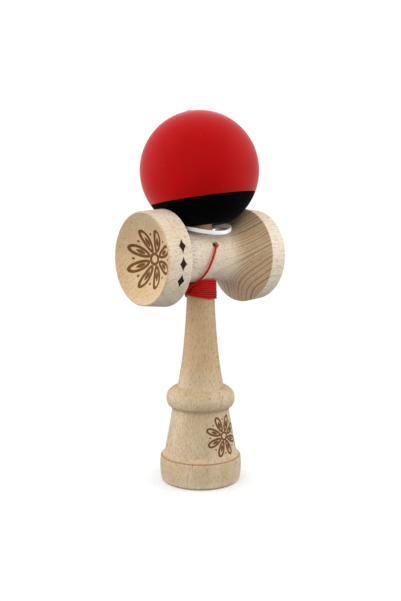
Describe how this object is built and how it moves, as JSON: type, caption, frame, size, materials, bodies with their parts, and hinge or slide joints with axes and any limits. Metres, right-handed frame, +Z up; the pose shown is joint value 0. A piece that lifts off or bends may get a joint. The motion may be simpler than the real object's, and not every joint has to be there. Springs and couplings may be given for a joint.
{
  "type": "kendama",
  "caption": "Kendama: turned wooden handle with a spike and a foot cup, a crosspiece with two cups, and a two-colour ball tied on a string wound round the neck.",
  "frame": {"origin": "centre of the foot, on the surface that the kendama stands on", "axes": "+Z up along the handle to the spike, X along the crosspiece with the small cup at -X and the big cup at +X, the crosspiece's string hole faces -Y"},
  "size_m": [0.0746, 0.0614, 0.1903],
  "materials": {
    "ken_wood": "pale beech, turned and sanded, uncoated",
    "sarado_wood": "pale beech, turned and sanded, uncoated",
    "tama_wood": "beech, drilled, uncoated inside the holes",
    "red_coat": "matte soft-touch rubber paint",
    "black_coat": "matte soft-touch rubber paint",
    "bead_wood": "small turned bead",
    "band_white": "white flexible plastic, satin",
    "red_string": "fine braided cord"
  },
  "bodies": {
    "handle": {"ken": "ken_wood", "sarado": "sarado_wood", "string_anchor_knot": "red_string", "string_lead": "red_string", "string_winding": "red_string", "string_tail_low": "red_string"},
    "band": {"spacer_band": "band_white"},
    "bead_on_string": {"bead": "bead_wood", "string_end_knot": "red_string", "string_tail_high": "red_string"},
    "tama": {"tama_core": "tama_wood", "tama_red_coat": "red_coat", "tama_black_coat": "black_coat"}
  },
  "joints": [
    {"name": "tama_lift", "type": "slide", "parent": "handle", "child": "bead_on_string", "axis": [0, 0, 1], "range_m": [0, 0.045]},
    {"name": "tama_spin", "type": "hinge", "parent": "bead_on_string", "child": "tama", "pos_m": [-0.00085, 0, 0.1592], "axis": [-0.0832, 0.1105, 0.9904], "continuous": true},
    {"name": "band_swivel", "type": "hinge", "parent": "handle", "child": "band", "pos_m": [0.0007, -0.00089, 0.1283], "axis": [0, 0, 1], "range_deg": [-10, 10]}
  ]
}
